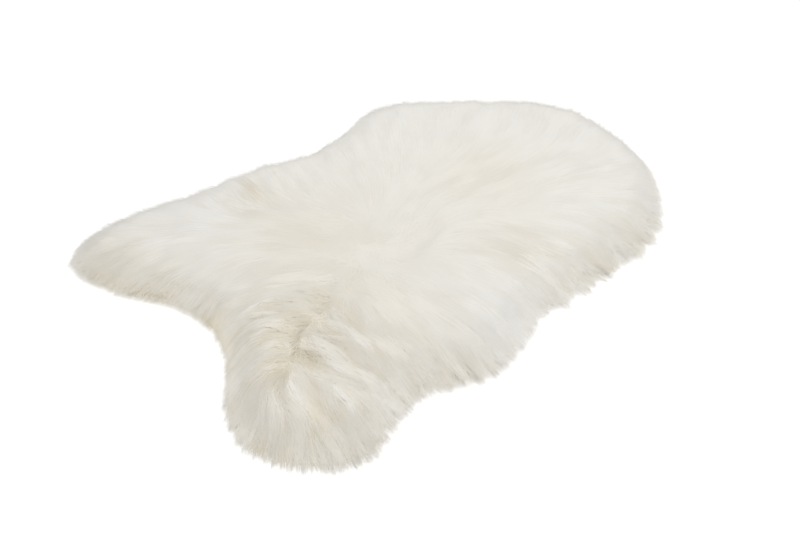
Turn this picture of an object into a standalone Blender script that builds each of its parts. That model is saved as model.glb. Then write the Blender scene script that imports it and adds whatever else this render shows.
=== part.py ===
"""A sheepskin rug: one tanned pelt that lies flat on the floor with its long wool up.

The solid is the whole pelt in one piece. Its flat hide face rests on the floor. Over it the fleece is
a lumpy slab that rounds down to a low rim, and pointed locks of wool reach out from that rim and rest
level on the floor. X runs along the spine to the neck, Y across it to the far flank, Z up. Metres.
"""

import bisect
import math
import random
from typing import NamedTuple

import bmesh
import bpy
from mathutils import Vector
from mathutils.geometry import delaunay_2d_cdt

MM = 0.001
SEED = 11

# The fleece, from the floor up.
PILE_HEIGHT = 44 * MM      # top of the wool over the hide, before its locks are added
RIM_HEIGHT = 15 * MM       # where the slab ends and the rim locks begin
CROWN_RUN = 85 * MM        # how far in from the rim the wool takes to reach its full height
MESH_PITCH = 18 * MM       # spacing of the top's points
MESH_WANDER = 0.14         # share of that spacing by which a point strays from an even grid
RIM_CLEAR = 0.62           # share of that spacing which a point keeps from the rim

# The hide under it.
HIDE_INSET = 28 * MM       # from the rim in to the hide's cut edge
HIDE_THICKNESS = 2.5 * MM
HIDE_EDGE_POINTS = 120

# The locks that lie on the fleece like shingles.
TUFT_PITCH = 46 * MM
TUFT_LENGTH = 78 * MM
TUFT_WIDTH = 34 * MM
TUFT_RISE = 13 * MM
TUFT_LEAST_RISE = 0.5      # share of that rise which the lowest tuft has
TUFT_CREST = 0.7           # share of its length, from the root, where a tuft is highest
TUFT_TURN = 0.35           # most a tuft turns from the comb's line, in radians
TUFT_WANDER = 0.3          # share of their spacing by which tufts stray from an even grid

# The parting, where the wool falls to either side.
PARTING_WIDTH = 30 * MM
PARTING_DEPTH = 9 * MM

# The locks that reach past the rim.
LOCK_PITCH = 19.5 * MM
LOCK_GAP = 4.5 * MM
CLUMP_PITCH = 47 * MM      # the rim's locks gather to points this far apart
CLUMP_LEAN = 0.22          # how far a lock turns to the middle of its clump
CLUMP_SHORT = 0.62         # length of the locks between two clumps, against those in the middle
LOCK_SPREAD = 0.14         # how much one lock's length differs from the next
COMB_LEAN = 0.45           # how far a lock's tip follows the comb instead of the rim's normal

COMB_REACH = 60 * MM       # distance over which one comb stroke gives way to the next
COMB_FALL = 3              # power of the distance by which a stroke's pull falls off
WOOL_COLOR = (0.77, 0.74, 0.66, 1.0)
WOOL_ROUGHNESS = 0.95


class RimPoint(NamedTuple):
    """A point on the fused wool's outline, in mm, and how far the locks reach past it there."""

    place: str
    x: float
    y: float
    reach: float


RIM = (
    RimPoint("neck tip", 492, 31, 24),
    RimPoint("neck corner, far", 450, 141, 22),
    RimPoint("shoulder, far", 345, 236, 20),
    RimPoint("foreleg, far, front", 235, 317, 20),
    RimPoint("foreleg, far", 160, 339, 20),
    RimPoint("foreleg, far, rear", 85, 308, 20),
    RimPoint("flank, far", -20, 290, 20),
    RimPoint("groin, far", -115, 312, 20),
    RimPoint("thigh, far", -270, 323, 20),
    RimPoint("hock, far", -365, 337, 20),
    RimPoint("foot, far, outer", -450, 329, 20),
    RimPoint("foot, far, tip", -499, 286, 20),
    RimPoint("foot, far, inner", -477, 191, 18),
    RimPoint("tail bay, far", -420, 96, 16),
    RimPoint("tail bay", -403, 16, 16),
    RimPoint("tail bay, near", -417, -57, 16),
    RimPoint("foot, near, inner", -475, -149, 20),
    RimPoint("foot, near, tip", -491, -224, 22),
    RimPoint("foot, near, outer", -450, -299, 22),
    RimPoint("hock, near", -380, -337, 22),
    RimPoint("thigh, near", -305, -309, 24),
    RimPoint("groin, near", -240, -296, 26),
    RimPoint("belly, near", -150, -327, 28),
    RimPoint("belly, near, front", -75, -319, 30),
    RimPoint("flank, near", 15, -287, 34),
    RimPoint("breast, near", 145, -287, 36),
    RimPoint("foreleg, near", 285, -276, 36),
    RimPoint("shoulder, near", 380, -224, 34),
    RimPoint("neck corner, near", 460, -129, 30),
)


class Stroke(NamedTuple):
    """Where the comb lays the wool, in mm, and the way its tips point, in degrees from +X to +Y."""

    place: str
    x: float
    y: float
    bearing: float


COMB = (
    Stroke("foot, far, tip", -486, 234, 145),
    Stroke("foot, far, inner", -470, 146, -159),
    Stroke("foot, far, crown", -402, 204, 175),
    Stroke("foot, far, outer", -354, 289, 110),
    Stroke("hock, far", -259, 247, 81),
    Stroke("thigh, far", -293, 130, 140),
    Stroke("tail, far", -386, 28, -175),
    Stroke("tail", -405, -58, 175),
    Stroke("tail, near", -428, -134, -174),
    Stroke("foot, near, back", -485, -191, -148),
    Stroke("foot, near, tip", -482, -269, -131),
    Stroke("foot, near, outer", -438, -313, -113),
    Stroke("hock, near", -381, -320, -99),
    Stroke("thigh, near", -309, -297, -78),
    Stroke("groin, near", -292, -194, -79),
    Stroke("belly, near", -235, -308, -91),
    Stroke("flank, near, rear", -120, -224, -82),
    Stroke("belly edge, near", -115, -329, -89),
    Stroke("breast, near", 47, -288, -85),
    Stroke("foreleg, near", 169, -275, -96),
    Stroke("shoulder, near", 272, -274, -71),
    Stroke("neck end", 371, -203, -13),
    Stroke("neck, far", 436, -41, 26),
    Stroke("shoulder, far", 385, 97, 38),
    Stroke("foreleg, far", 176, 248, 59),
    Stroke("flank, far", -14, 225, 64),
    Stroke("groin, far", -136, 243, 65),
    Stroke("spine, front", 188, -70, 8),
    Stroke("spine, middle", -24, -43, 30),
    Stroke("spine, rear", -212, 44, 121),
    Stroke("saddle, near", -149, -139, -87),
)


class PartingPoint(NamedTuple):
    """A point along the parting, in mm."""

    x: float
    y: float


PARTING = (
    PartingPoint(-374, -153),
    PartingPoint(-336, -124),
    PartingPoint(-279, -92),
    PartingPoint(-219, -87),
    PartingPoint(-135, -75),
    PartingPoint(-25, -59),
)


class LockSection(NamedTuple):
    """A section of a rim lock: its place along it, and its width and height against the root's."""

    along: float
    width: float
    height: float


LOCK_SECTIONS = (
    LockSection(0.45, 0.96, 0.72),
    LockSection(0.80, 0.66, 0.42),
    LockSection(1.00, 0.16, 0.14),
)


def unit(angle):
    """The level unit vector at this angle from +X."""
    return Vector((math.cos(angle), math.sin(angle)))


class Outline:
    """A closed smooth curve through rows of numbers, the first two of which are X and Y."""

    STEPS = 24       # fine points between two rows
    CHORD = 12 * MM  # the stretch to either side that a normal is read from

    def __init__(self, rows):
        self.rows = self.smoothed([Vector(row) for row in rows])
        self.lengths = [0.0]
        for this, following in zip(self.rows, self.rows[1:] + self.rows[:1]):
            self.lengths.append(self.lengths[-1] + (following.xy - this.xy).length)
        self.around = self.lengths[-1]

    def smoothed(self, knots):
        """Fine rows on a centripetal spline through the knots."""
        count = len(knots)
        spans = [math.sqrt((knots[(i + 1) % count].xy - knots[i].xy).length) for i in range(count)]
        slopes = []
        for i in range(count):
            across = spans[i - 1] + spans[i]
            slopes.append((knots[(i + 1) % count] - knots[i - 1]) / across)
        fine = []
        for i in range(count):
            start, end = knots[i], knots[(i + 1) % count]
            leave, arrive = slopes[i] * spans[i], slopes[(i + 1) % count] * spans[i]
            for step in range(self.STEPS):
                t = step / self.STEPS
                fine.append(
                    start * (2 * t**3 - 3 * t**2 + 1)
                    + leave * (t**3 - 2 * t**2 + t)
                    + end * (3 * t**2 - 2 * t**3)
                    + arrive * (t**3 - t**2)
                )
        return fine

    def row(self, length):
        """The row at this length round the curve."""
        length %= self.around
        i = bisect.bisect_right(self.lengths, length) - 1
        share = (length - self.lengths[i]) / (self.lengths[i + 1] - self.lengths[i])
        return self.rows[i].lerp(self.rows[(i + 1) % len(self.rows)], share)

    def normal(self, length):
        """The level unit vector that points out of the curve here."""
        along = (self.row(length + self.CHORD).xy - self.row(length - self.CHORD).xy).normalized()
        return Vector((along.y, -along.x))

    def holds(self, point):
        """Whether the level point is inside the curve."""
        inside = False
        for this, following in zip(self.rows, self.rows[1:] + self.rows[:1]):
            if (this.y > point.y) != (following.y > point.y):
                share = (point.y - this.y) / (following.y - this.y)
                if point.x < this.x + share * (following.x - this.x):
                    inside = not inside
        return inside

    def distance(self, point):
        """How far the level point is from the curve."""
        return min((row.xy - point).length for row in self.rows)


def comb(point):
    """The way the wool's tips point at a level point: the comb strokes, each weighed by its nearness."""
    way = Vector((0.0, 0.0))
    for stroke in COMB:
        away = (Vector((stroke.x, stroke.y)) * MM - point).length
        way += unit(math.radians(stroke.bearing)) / (away + COMB_REACH) ** COMB_FALL
    return way.normalized()


def parting_depth(point):
    """How deep the parting is at a level point."""
    nearest = math.inf
    for this, following in zip(PARTING, PARTING[1:]):
        start, end = Vector(this) * MM, Vector(following) * MM
        share = (point - start).dot(end - start) / (end - start).length_squared
        foot = start.lerp(end, min(max(share, 0.0), 1.0))
        nearest = min(nearest, (point - foot).length)
    return PARTING_DEPTH * math.exp(-((nearest / PARTING_WIDTH) ** 2))


class Tuft(NamedTuple):
    """A lock of wool that lies on the fleece: its root, the way it lies and how high it stands."""

    root: Vector
    way: Vector
    rise: float

    def height(self, point):
        """How high the tuft stands at a level point, 0 outside it."""
        away = point - self.root
        along = away.dot(self.way) / TUFT_LENGTH
        across = self.way.cross(away) / (TUFT_WIDTH / 2)
        if not 0 < along < 1 or abs(across) >= 1:
            return 0.0
        if along < TUFT_CREST:
            crest = along / TUFT_CREST
        else:
            crest = (1 - along) / (1 - TUFT_CREST)
        return self.rise * math.sqrt(crest) * (1 - across**2)


def hexagonal(pitch, outline, clear, rng, wander):
    """Level points on a jittered hexagonal grid, inside the outline and this clear of it."""
    line = pitch * math.sqrt(3) / 2
    columns = math.ceil(max(abs(row.x) for row in outline.rows) / pitch)
    lines = math.ceil(max(abs(row.y) for row in outline.rows) / line)
    points = []
    for j in range(-lines, lines + 1):
        for i in range(-columns, columns + 1):
            shake = Vector((rng.uniform(-1, 1), rng.uniform(-1, 1))) * wander * pitch
            point = Vector(((i + 0.5 * (j % 2)) * pitch, j * line)) + shake
            if outline.holds(point) and outline.distance(point) > clear:
                points.append(point)
    return points


def laid_tufts(outline, rng):
    """The tufts that cover the fleece."""
    tufts = []
    for middle in hexagonal(TUFT_PITCH, outline, TUFT_LENGTH / 3, rng, TUFT_WANDER):
        combed = comb(middle)
        way = unit(math.atan2(combed.y, combed.x) + rng.uniform(-TUFT_TURN, TUFT_TURN))
        rise = TUFT_RISE * rng.uniform(TUFT_LEAST_RISE, 1.0)
        tufts.append(Tuft(middle - way * TUFT_LENGTH / 2, way, rise))
    return tufts


def fleece_height(point, inward, tufts):
    """The height of the wool at a level point this far in from the rim."""
    share = min(inward / CROWN_RUN, 1.0)
    crown = math.sqrt(1 - (1 - share) ** 2)
    tuft = max(tuft.height(point) for tuft in tufts)
    return RIM_HEIGHT + (PILE_HEIGHT - RIM_HEIGHT - parting_depth(point) + tuft) * crown


class RimLock(NamedTuple):
    """A lock at the rim: the lengths round the outline at which its root starts and ends."""

    start: float
    end: float

    @property
    def middle(self):
        """The length round the outline at the middle of its root."""
        return (self.start + self.end) / 2


def lock_row(outline):
    """The rim's locks, evenly round the outline."""
    count = round(outline.around / LOCK_PITCH)
    pitch = outline.around / count
    return [RimLock(i * pitch + LOCK_GAP / 2, (i + 1) * pitch - LOCK_GAP / 2) for i in range(count)]


def lock_line(lock, outline, rng):
    """The lock's root, and the level points at the middle of each of its sections."""
    clumps = round(outline.around / CLUMP_PITCH)
    phase = math.tau * lock.middle * clumps / outline.around
    gathered = (1 + math.cos(phase)) / 2
    row, normal = outline.row(lock.middle), outline.normal(lock.middle)
    reach = row.z * (CLUMP_SHORT + (1 - CLUMP_SHORT) * gathered)
    reach *= rng.uniform(1 - LOCK_SPREAD, 1 + LOCK_SPREAD)
    along_rim = Vector((-normal.y, normal.x))
    leave = (normal - along_rim * CLUMP_LEAN * math.sin(phase)).normalized()
    arrive = (leave + (comb(row.xy) - leave) * COMB_LEAN).normalized()
    points, place, before = [], row.xy, 0.0
    for section in LOCK_SECTIONS:
        way = leave.lerp(arrive, section.along).normalized()
        place = place + way * reach * (section.along - before)
        points.append((place, way))
        before = section.along
    return points


def add_rim(bm, outline, locks):
    """The rim's foot on the floor and its top, each two points to a lock."""
    lengths = [length for lock in locks for length in (lock.start, lock.end)]
    foot = [bm.verts.new((*outline.row(length).xy, 0.0)) for length in lengths]
    top = [bm.verts.new((*outline.row(length).xy, RIM_HEIGHT)) for length in lengths]
    return foot, top


def add_lock(bm, root, line, width):
    """A four-sided lock that grows from its root's four corners to a blunt point and rests on the floor."""
    before = root
    for (place, way), section in zip(line, LOCK_SECTIONS):
        side = Vector((-way.y, way.x)) * width * section.width / 2
        height = RIM_HEIGHT * section.height
        corners = ((place - side, 0.0), (place + side, 0.0), (place + side, height), (place - side, height))
        ring = [bm.verts.new((*level, rise)) for level, rise in corners]
        for i in range(4):
            j = (i + 1) % 4
            bm.faces.new((before[i], before[j], ring[j], ring[i]))
        before = ring
    bm.faces.new(before)


def add_rim_faces(bm, outline, locks, foot, top, rng):
    """The rim's wall: a lock at each root, and a plain face in each gap between two."""
    for i, lock in enumerate(locks):
        start, end, following = 2 * i, 2 * i + 1, (2 * i + 2) % len(foot)
        root = (foot[start], foot[end], top[end], top[start])
        add_lock(bm, root, lock_line(lock, outline, rng), lock.end - lock.start)
        bm.faces.new((foot[end], foot[following], top[following], top[end]))


def add_fleece(bm, outline, top, rng):
    """The fleece's lumpy top, inside the rim's top."""
    tufts = laid_tufts(outline, rng)
    verts = list(top)
    for point in hexagonal(MESH_PITCH, outline, MESH_PITCH * RIM_CLEAR, rng, MESH_WANDER):
        height = fleece_height(point, outline.distance(point), tufts)
        verts.append(bm.verts.new((*point, height)))
    level = [vert.co.xy for vert in verts]
    _, _, faces, origins, _, _ = delaunay_2d_cdt(level, [], [list(range(len(top)))], 1, 1e-7)
    for face in faces:
        bm.faces.new([verts[origins[i][0]] for i in face])


def hide_outline():
    """The hide's cut edge, inside the wool's outline."""
    wool = Outline([(row.x * MM, row.y * MM, 0.0) for row in RIM])
    rows = []
    for i in range(len(RIM)):
        length = wool.lengths[i * Outline.STEPS]
        inside = wool.row(length).xy - wool.normal(length) * HIDE_INSET
        rows.append((inside.x, inside.y, 0.0))
    return Outline(rows)


def stitch(bm, outer, inner):
    """Triangles between two closed rows of points, taken on wherever the next is nearer."""
    i = j = 0
    while i < len(outer) or j < len(inner):
        if j == len(inner) or (i < len(outer) and (i + 1) / len(outer) <= (j + 1) / len(inner)):
            bm.faces.new((outer[i % len(outer)], outer[(i + 1) % len(outer)], inner[j % len(inner)]))
            i += 1
        else:
            bm.faces.new((outer[i % len(outer)], inner[(j + 1) % len(inner)], inner[j % len(inner)]))
            j += 1


def add_underside(bm, foot):
    """The flat hide on the floor, its cut edge, and the wool that falls past it to the rim's foot."""
    hide = hide_outline()
    lengths = [i * hide.around / HIDE_EDGE_POINTS for i in range(HIDE_EDGE_POINTS)]
    floor = [bm.verts.new((*hide.row(length).xy, 0.0)) for length in lengths]
    edge = [bm.verts.new((*hide.row(length).xy, HIDE_THICKNESS)) for length in lengths]
    bm.faces.new(floor)
    for i in range(HIDE_EDGE_POINTS):
        j = (i + 1) % HIDE_EDGE_POINTS
        bm.faces.new((floor[i], floor[j], edge[j], edge[i]))
    stitch(bm, foot, edge)


def wool_material():
    """Undyed sheep's wool, warm white and matt."""
    material = bpy.data.materials.new("Undyed wool")
    material.use_nodes = True
    shader = material.node_tree.nodes["Principled BSDF"]
    shader.inputs["Base Color"].default_value = WOOL_COLOR
    shader.inputs["Roughness"].default_value = WOOL_ROUGHNESS
    shader.inputs["Metallic"].default_value = 0.0
    return material


def add_sheepskin():
    """The whole pelt as one closed solid."""
    rng = random.Random(SEED)
    outline = Outline([(row.x * MM, row.y * MM, row.reach * MM) for row in RIM])
    locks = lock_row(outline)
    bm = bmesh.new()
    foot, top = add_rim(bm, outline, locks)
    add_rim_faces(bm, outline, locks, foot, top, rng)
    add_fleece(bm, outline, top, rng)
    add_underside(bm, foot)
    bmesh.ops.recalc_face_normals(bm, faces=bm.faces)
    mesh = bpy.data.meshes.new("sheepskin")
    bm.to_mesh(mesh)
    bm.free()
    mesh.materials.append(wool_material())
    bpy.context.scene.collection.objects.link(bpy.data.objects.new("sheepskin", mesh))


def main():
    for old in list(bpy.data.objects):
        bpy.data.objects.remove(old, do_unlink=True)
    add_sheepskin()


main()
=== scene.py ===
"""The looks of a sheepskin rug: a suede hide, its dense underwool, and the long wool that lies over both.

Every fibre of the long wool is rooted in the underwool and follows the way that the pelt was combed over
the roots of the next ones. Where the fleece is ruffled, it gathers with its neighbours into a pointed
lock. The frame's solid gives the fleece's height everywhere, so the wool lies where the solid is.
"""

from __future__ import annotations

import logging
import math
from dataclasses import dataclass, field
from enum import Enum
from typing import NamedTuple

import bpy
import numpy as np
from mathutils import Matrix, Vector
from mathutils.bvhtree import BVHTree
from mathutils.geometry import delaunay_2d_cdt
from mathutils.kdtree import KDTree


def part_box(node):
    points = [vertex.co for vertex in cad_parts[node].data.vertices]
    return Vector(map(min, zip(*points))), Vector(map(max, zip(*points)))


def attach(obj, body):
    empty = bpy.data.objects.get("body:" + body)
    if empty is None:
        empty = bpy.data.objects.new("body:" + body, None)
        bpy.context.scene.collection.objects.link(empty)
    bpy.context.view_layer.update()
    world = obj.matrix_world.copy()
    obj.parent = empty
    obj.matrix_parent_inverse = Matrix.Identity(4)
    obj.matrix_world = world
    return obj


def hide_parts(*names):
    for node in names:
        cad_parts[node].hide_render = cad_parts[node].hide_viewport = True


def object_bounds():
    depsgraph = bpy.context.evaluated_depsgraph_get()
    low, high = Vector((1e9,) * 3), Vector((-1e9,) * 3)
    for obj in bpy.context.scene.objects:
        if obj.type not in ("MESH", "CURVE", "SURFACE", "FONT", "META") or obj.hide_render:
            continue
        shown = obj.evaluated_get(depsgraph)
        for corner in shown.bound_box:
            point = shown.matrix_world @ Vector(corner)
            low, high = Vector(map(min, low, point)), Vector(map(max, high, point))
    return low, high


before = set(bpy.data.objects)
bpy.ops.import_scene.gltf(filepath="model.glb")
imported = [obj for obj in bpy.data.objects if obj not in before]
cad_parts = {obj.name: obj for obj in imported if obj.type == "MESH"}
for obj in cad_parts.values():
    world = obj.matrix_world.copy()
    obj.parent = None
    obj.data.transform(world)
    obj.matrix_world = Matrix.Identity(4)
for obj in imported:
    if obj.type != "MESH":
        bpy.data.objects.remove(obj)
CAD_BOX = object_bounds()
LOG = logging.getLogger("sheepskin")

Array = np.ndarray
Rng = np.random.Generator
Piece = bpy.types.Object
Pair = tuple[float, float]

MM = 0.001
TINY = 1e-9
SHEEPSKIN = "sheepskin"
BODY = "root"
FIBRE = "fibre"
ROOT_SHARE = 0.15
MIDDLE_SHARE = 0.45
BAKE_MAP = "OFBake"
# A colour mix's sockets, by number, because several of them share a name.
MIX_FACTOR, MIX_FIRST, MIX_SECOND, MIX_RESULT = 0, 6, 7, 2


class RimPoint(NamedTuple):
    """A point on the fused wool's outline, in mm, and how far the locks reach past it there."""

    place: str
    x: float
    y: float
    reach: float


RIM = tuple(RimPoint(*row) for row in (
    ("neck tip", 490, 31, 19),
    ("neck corner, far", 450, 141, 22),
    ("shoulder, far", 345, 236, 20),
    ("foreleg, far, front", 235, 317, 20),
    ("foreleg, far", 160, 339, 20),
    ("foreleg, far, rear", 85, 308, 20),
    ("flank, far", -20, 290, 20),
    ("groin, far", -115, 312, 20),
    ("thigh, far", -270, 323, 20),
    ("hock, far", -365, 337, 20),
    ("foot, far, outer", -450, 329, 20),
    ("foot, far, tip", -499, 286, 20),
    ("foot, far, inner", -477, 191, 18),
    ("tail bay, far", -420, 96, 16),
    ("tail bay", -403, 16, 16),
    ("tail bay, near", -417, -57, 16),
    ("foot, near, inner", -475, -149, 20),
    ("foot, near, tip", -491, -224, 22),
    ("foot, near, outer", -450, -299, 22),
    ("hock, near", -380, -337, 22),
    ("thigh, near", -305, -309, 24),
    ("groin, near", -240, -296, 26),
    ("belly, near", -150, -327, 28),
    ("belly, near, front", -75, -319, 30),
    ("flank, near", 15, -287, 34),
    ("breast, near", 145, -287, 36),
    ("foreleg, near", 285, -276, 34),
    ("shoulder, near", 380, -224, 25),
    ("neck corner, near", 458, -128, 20),
))


class Stroke(NamedTuple):
    """Where the comb lays the wool, in mm, and the way its tips point, in degrees from +X to +Y."""

    place: str
    x: float
    y: float
    bearing: float


COMB = tuple(Stroke(*row) for row in (
    ("foot, far, tip", -486, 234, 145),
    ("foot, far, inner", -470, 140, 163),
    ("foot, far, crown", -427, 186, -165),
    ("foot, far, front", -343, 204, 153),
    ("foot, far, outer", -354, 289, 110),
    ("hock, far", -259, 247, 81),
    ("thigh, far", -293, 130, 140),
    ("thigh, far, rear", -344, 76, -168),
    ("tail, far", -400, 30, -170),
    ("tail", -405, -58, 175),
    ("tail, near", -428, -134, -174),
    ("rump", -326, -39, 157),
    ("rump, near", -371, -89, -172),
    ("foot, near, back", -480, -192, -150),
    ("foot, near, crown", -414, -231, -98),
    ("foot, near, front", -368, -259, -62),
    ("foot, near, tip", -482, -269, -131),
    ("foot, near, outer", -438, -313, -113),
    ("hock, near", -381, -320, -86),
    ("thigh, near", -309, -297, -78),
    ("groin, near", -292, -194, -79),
    ("belly, near", -235, -308, -91),
    ("flank, near, rear", -120, -224, -82),
    ("belly edge, near", -115, -329, -89),
    ("breast, near", 47, -288, -85),
    ("foreleg, near", 169, -275, -82),
    ("foreleg, near, upper", 178, -212, -74),
    ("withers, near", 57, -178, -71),
    ("shoulder, near", 272, -262, -74),
    ("neck end", 371, -203, -13),
    ("neck, far", 436, -41, 26),
    ("shoulder, far", 385, 97, 38),
    ("foreleg, far", 176, 248, 59),
    ("flank, far", -14, 225, 64),
    ("groin, far", -136, 243, 65),
    ("spine, front", 188, -70, 8),
    ("spine, middle", -24, -43, 30),
    ("spine, rear", -212, 44, 121),
    ("saddle, near", -149, -139, -87),
))


class PartingPoint(NamedTuple):
    """A point along the parting, in mm, and how strongly the wool falls away from it to both sides."""

    x: float
    y: float
    push: float


PARTING = tuple(PartingPoint(*row) for row in (
    (-374, -153, 0.9),
    (-336, -124, 1.3),
    (-279, -92, 1.1),
    (-219, -87, 0.5),
    (-168, -60, 0.15),
    (-132, -26, 0.0),
))


class Crevice(NamedTuple):
    """A straight piece of a gap in the wool, from place to place in mm, and how far it opens to the roots."""

    place: str
    x: float
    y: float
    to_x: float
    to_y: float
    open: float


CREVICES = tuple(Crevice(*row) for row in (
    ("saddle, front", -183, -66, -222, -60, 0.35),
    ("saddle, middle", -240, -62, -262, -72, 0.45),
    ("saddle, rear", -262, -72, -268, -102, 0.5),
    ("rump, front", -314, -86, -332, -100, 0.7),
    ("rump, middle", -345, -112, -358, -140, 1.0),
    ("rump, near", -356, -146, -338, -180, 0.9),
    ("foot, near, front", -378, -148, -398, -166, 0.7),
    ("foot, near, rear", -412, -176, -430, -206, 0.6),
    ("groin, near, rear", -300, -268, -284, -296, 0.5),
    ("groin, near", -226, -288, -198, -304, 0.5),
    ("foot, far, inner", -458, 155, -415, 134, 0.6),
    ("tail bay, far", -437, 120, -400, 108, 0.7),
    ("tail bay", -430, 50, -426, -50, 0.55),
))


class Patch(NamedTuple):
    """A soft round patch of the wool: its middle and radius in mm, and how much of a trait it adds."""

    place: str
    x: float
    y: float
    radius: float
    amount: float


# How much warmer the wool is where it is greasier, or cooler where it is cleaner. The tail bay's near patch
# is also painted shade, and the crests' negative amounts are painted highlight.
CREAM = tuple(Patch(*row) for row in (
    ("parting, rear", -330, -115, 60, 0.06),
    ("parting, front", -240, -90, 80, 0.10),
    ("saddle, near", -187, -172, 80, 0.12),
    ("groin, near", -226, -254, 60, 0.14),
    ("belly, near", -185, -330, 60, 0.40),
    ("breast rim", 30, -305, 70, 0.15),
    ("shoulder rim", 218, -287, 70, 0.15),
    ("withers", 163, 7, 90, 0.22),
    ("withers, near", 53, -174, 60, 0.22),
    ("foreleg, near", 154, -258, 45, 0.34),
    ("shoulder, near", 262, -240, 45, 0.32),
    ("flank, far", -181, 190, 45, 0.28),
    ("loin, far", -178, 63, 50, 0.20),
    ("tail root", -210, 30, 110, 0.16),
    ("hip, near", -380, -87, 70, 0.30),
    # Painted shade as well as grease: the tail bay's near side turns from the light.
    ("tail bay, near", -415, 5, 50, 0.85),
    ("tail bay, far", -430, 100, 60, 0.40),
    ("foot, far", -470, 205, 75, 0.52),
    ("foot, near", -420, -250, 120, 0.48),
    ("back", 70, -80, 150, 0.10),
    ("loin", -90, 50, 150, 0.09),
    ("saddle", -250, -130, 120, 0.10),
    # Painted highlight: these crests are paler where the light falls on the lumps' tops.
    ("left body crest", -204, 253, 60, -0.10),
    ("thigh crest", -292, 194, 60, -0.10),
    ("breast crest", -33, -256, 60, -0.14),
    ("foreleg crest", 204, -221, 60, -0.14),
))


# How much the wool is ruffled into locks.
SHAG = tuple(Patch(*row) for row in (
    ("foot, near", -430, -240, 130, 1.0),
    ("thigh, near", -300, -300, 80, 0.7),
    ("belly, near", -160, -330, 80, 0.8),
    ("breast, near", 50, -310, 65, 0.7),
    ("foreleg, near", 190, -300, 80, 0.9),
    ("shoulder, near", 320, -265, 70, 0.7),
    ("neck, near", 450, -130, 70, 0.2),
    ("parting", -300, -105, 90, 0.8),
    ("foot, far", -460, 220, 110, 0.45),
    ("flank, far", -180, 205, 60, 0.6),
    ("withers, near", 57, -178, 60, 0.35),
    ("tail", -410, 0, 80, 0.6),
))


def linear(value: str) -> tuple[float, float, float, float]:
    """Turn an sRGB hex colour into Blender's linear values.

    Args:
        value: Six hex digits, such as "e8e4da".

    Returns:
        Red, green, blue and an alpha of 1.
    """
    parts = [int(value[i : i + 2], 16) / 255 for i in (0, 2, 4)]
    red, green, blue = (p / 12.92 if p <= 0.04045 else ((p + 0.055) / 1.055) ** 2.4 for p in parts)
    return red, green, blue, 1.0


def set_up(node: bpy.types.Node, **settings) -> None:
    """Set a node's own attributes, or the default values of its inputs.

    Args:
        node: The node.
        **settings: Values by name, with a low line for a space.
    """
    for name, value in settings.items():
        if hasattr(node, name):
            setattr(node, name, value)
        else:
            node.inputs[name.replace("_", " ")].default_value = value


def add_node(tree: bpy.types.NodeTree, kind: str, links: dict | None = None, **settings) -> bpy.types.Node:
    """Add one node with its settings and incoming links.

    Args:
        tree: The tree that gets the node.
        kind: The node's type name without its "ShaderNode".
        links: Input name or number to the socket that feeds it.
        **settings: What set_up sets.

    Returns:
        The new node.
    """
    node = tree.nodes.new("ShaderNode" + kind)
    set_up(node, **settings)
    for name, socket in (links or {}).items():
        tree.links.new(socket, node.inputs[name])
    return node


def new_material(name: str) -> tuple[bpy.types.Material, bpy.types.NodeTree, bpy.types.Node]:
    """Start a material.

    Args:
        name: What the real stuff is.

    Returns:
        The material, its node tree and its Principled shader.
    """
    material = bpy.data.materials.new(name)
    material.use_nodes = True
    return material, material.node_tree, material.node_tree.nodes["Principled BSDF"]


def eased(share: Array) -> Array:
    """Ease a share from 0 to 1, with both ends level."""
    share = np.clip(share, 0.0, 1.0)
    return share * share * (3 - 2 * share)


def between(ends: Pair, share: Array) -> Array:
    """Go from the first end to the second by a share."""
    return ends[0] + (ends[1] - ends[0]) * share


def bell(distance: Array, reach: float) -> Array:
    """Fall off softly from 1 with distance, to about a third at the reach."""
    return np.exp(-((distance / reach) ** 2))


def unit(vectors: Array) -> Array:
    """Scale vectors, along the last axis, to a length of 1."""
    return vectors / np.maximum(np.linalg.norm(vectors, axis=-1, keepdims=True), TINY)


def heading(bearing: float) -> Array:
    """Give the level unit vector at a bearing, in radians from +X to +Y."""
    return np.array((math.cos(bearing), math.sin(bearing)))


def leftward(ways: Array) -> Array:
    """Turn level vectors a quarter turn to their left."""
    return np.stack([-ways[:, 1], ways[:, 0]], axis=1)


def distance(points: Array, x: float, y: float) -> Array:
    """Measure how far level points are from a spot that is given in mm."""
    return np.linalg.norm(points - np.array((x, y)) * MM, axis=1)


def swing(share: Array, phase: Array) -> Array:
    """Give a slow wave's sideways share along a fibre, from none at its root."""
    waves = 0.8
    return (np.sin(phase + share * math.tau * waves) - np.sin(phase)) * share


def turned(ways: Array, angles: Array) -> Array:
    """Turn level vectors from +X to +Y, each by its own angle in radians."""
    cos, sin = np.cos(angles), np.sin(angles)
    return np.stack([ways[:, 0] * cos - ways[:, 1] * sin, ways[:, 0] * sin + ways[:, 1] * cos], axis=1)


def blurred(grid: Array, passes: int) -> Array:
    """Blur a grid.

    Args:
        grid: Values by line and column.
        passes: How often each value is mixed with its four neighbours.

    Returns:
        The blurred grid.
    """
    for _ in range(passes):
        wide = np.pad(grid, 1, mode="edge")
        upright = wide[1:-1, 1:-1] * 2 + wide[:-2, 1:-1] + wide[2:, 1:-1]
        grid = (upright + wide[1:-1, :-2] + wide[1:-1, 2:]) / 6
    return grid


def nearest_of(middles: Array, points: Array) -> Array:
    """Find the middle that is nearest to each point.

    Args:
        middles: Level points, one a row.
        points: Level points, one a row.

    Returns:
        The row of the nearest middle, for each point.
    """
    tree = KDTree(len(middles))
    for i, (x, y) in enumerate(middles.tolist()):
        tree.insert((x, y, 0.0), i)
    tree.balance()
    return np.array([tree.find((x, y, 0.0))[1] for x, y in points.tolist()])


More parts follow.
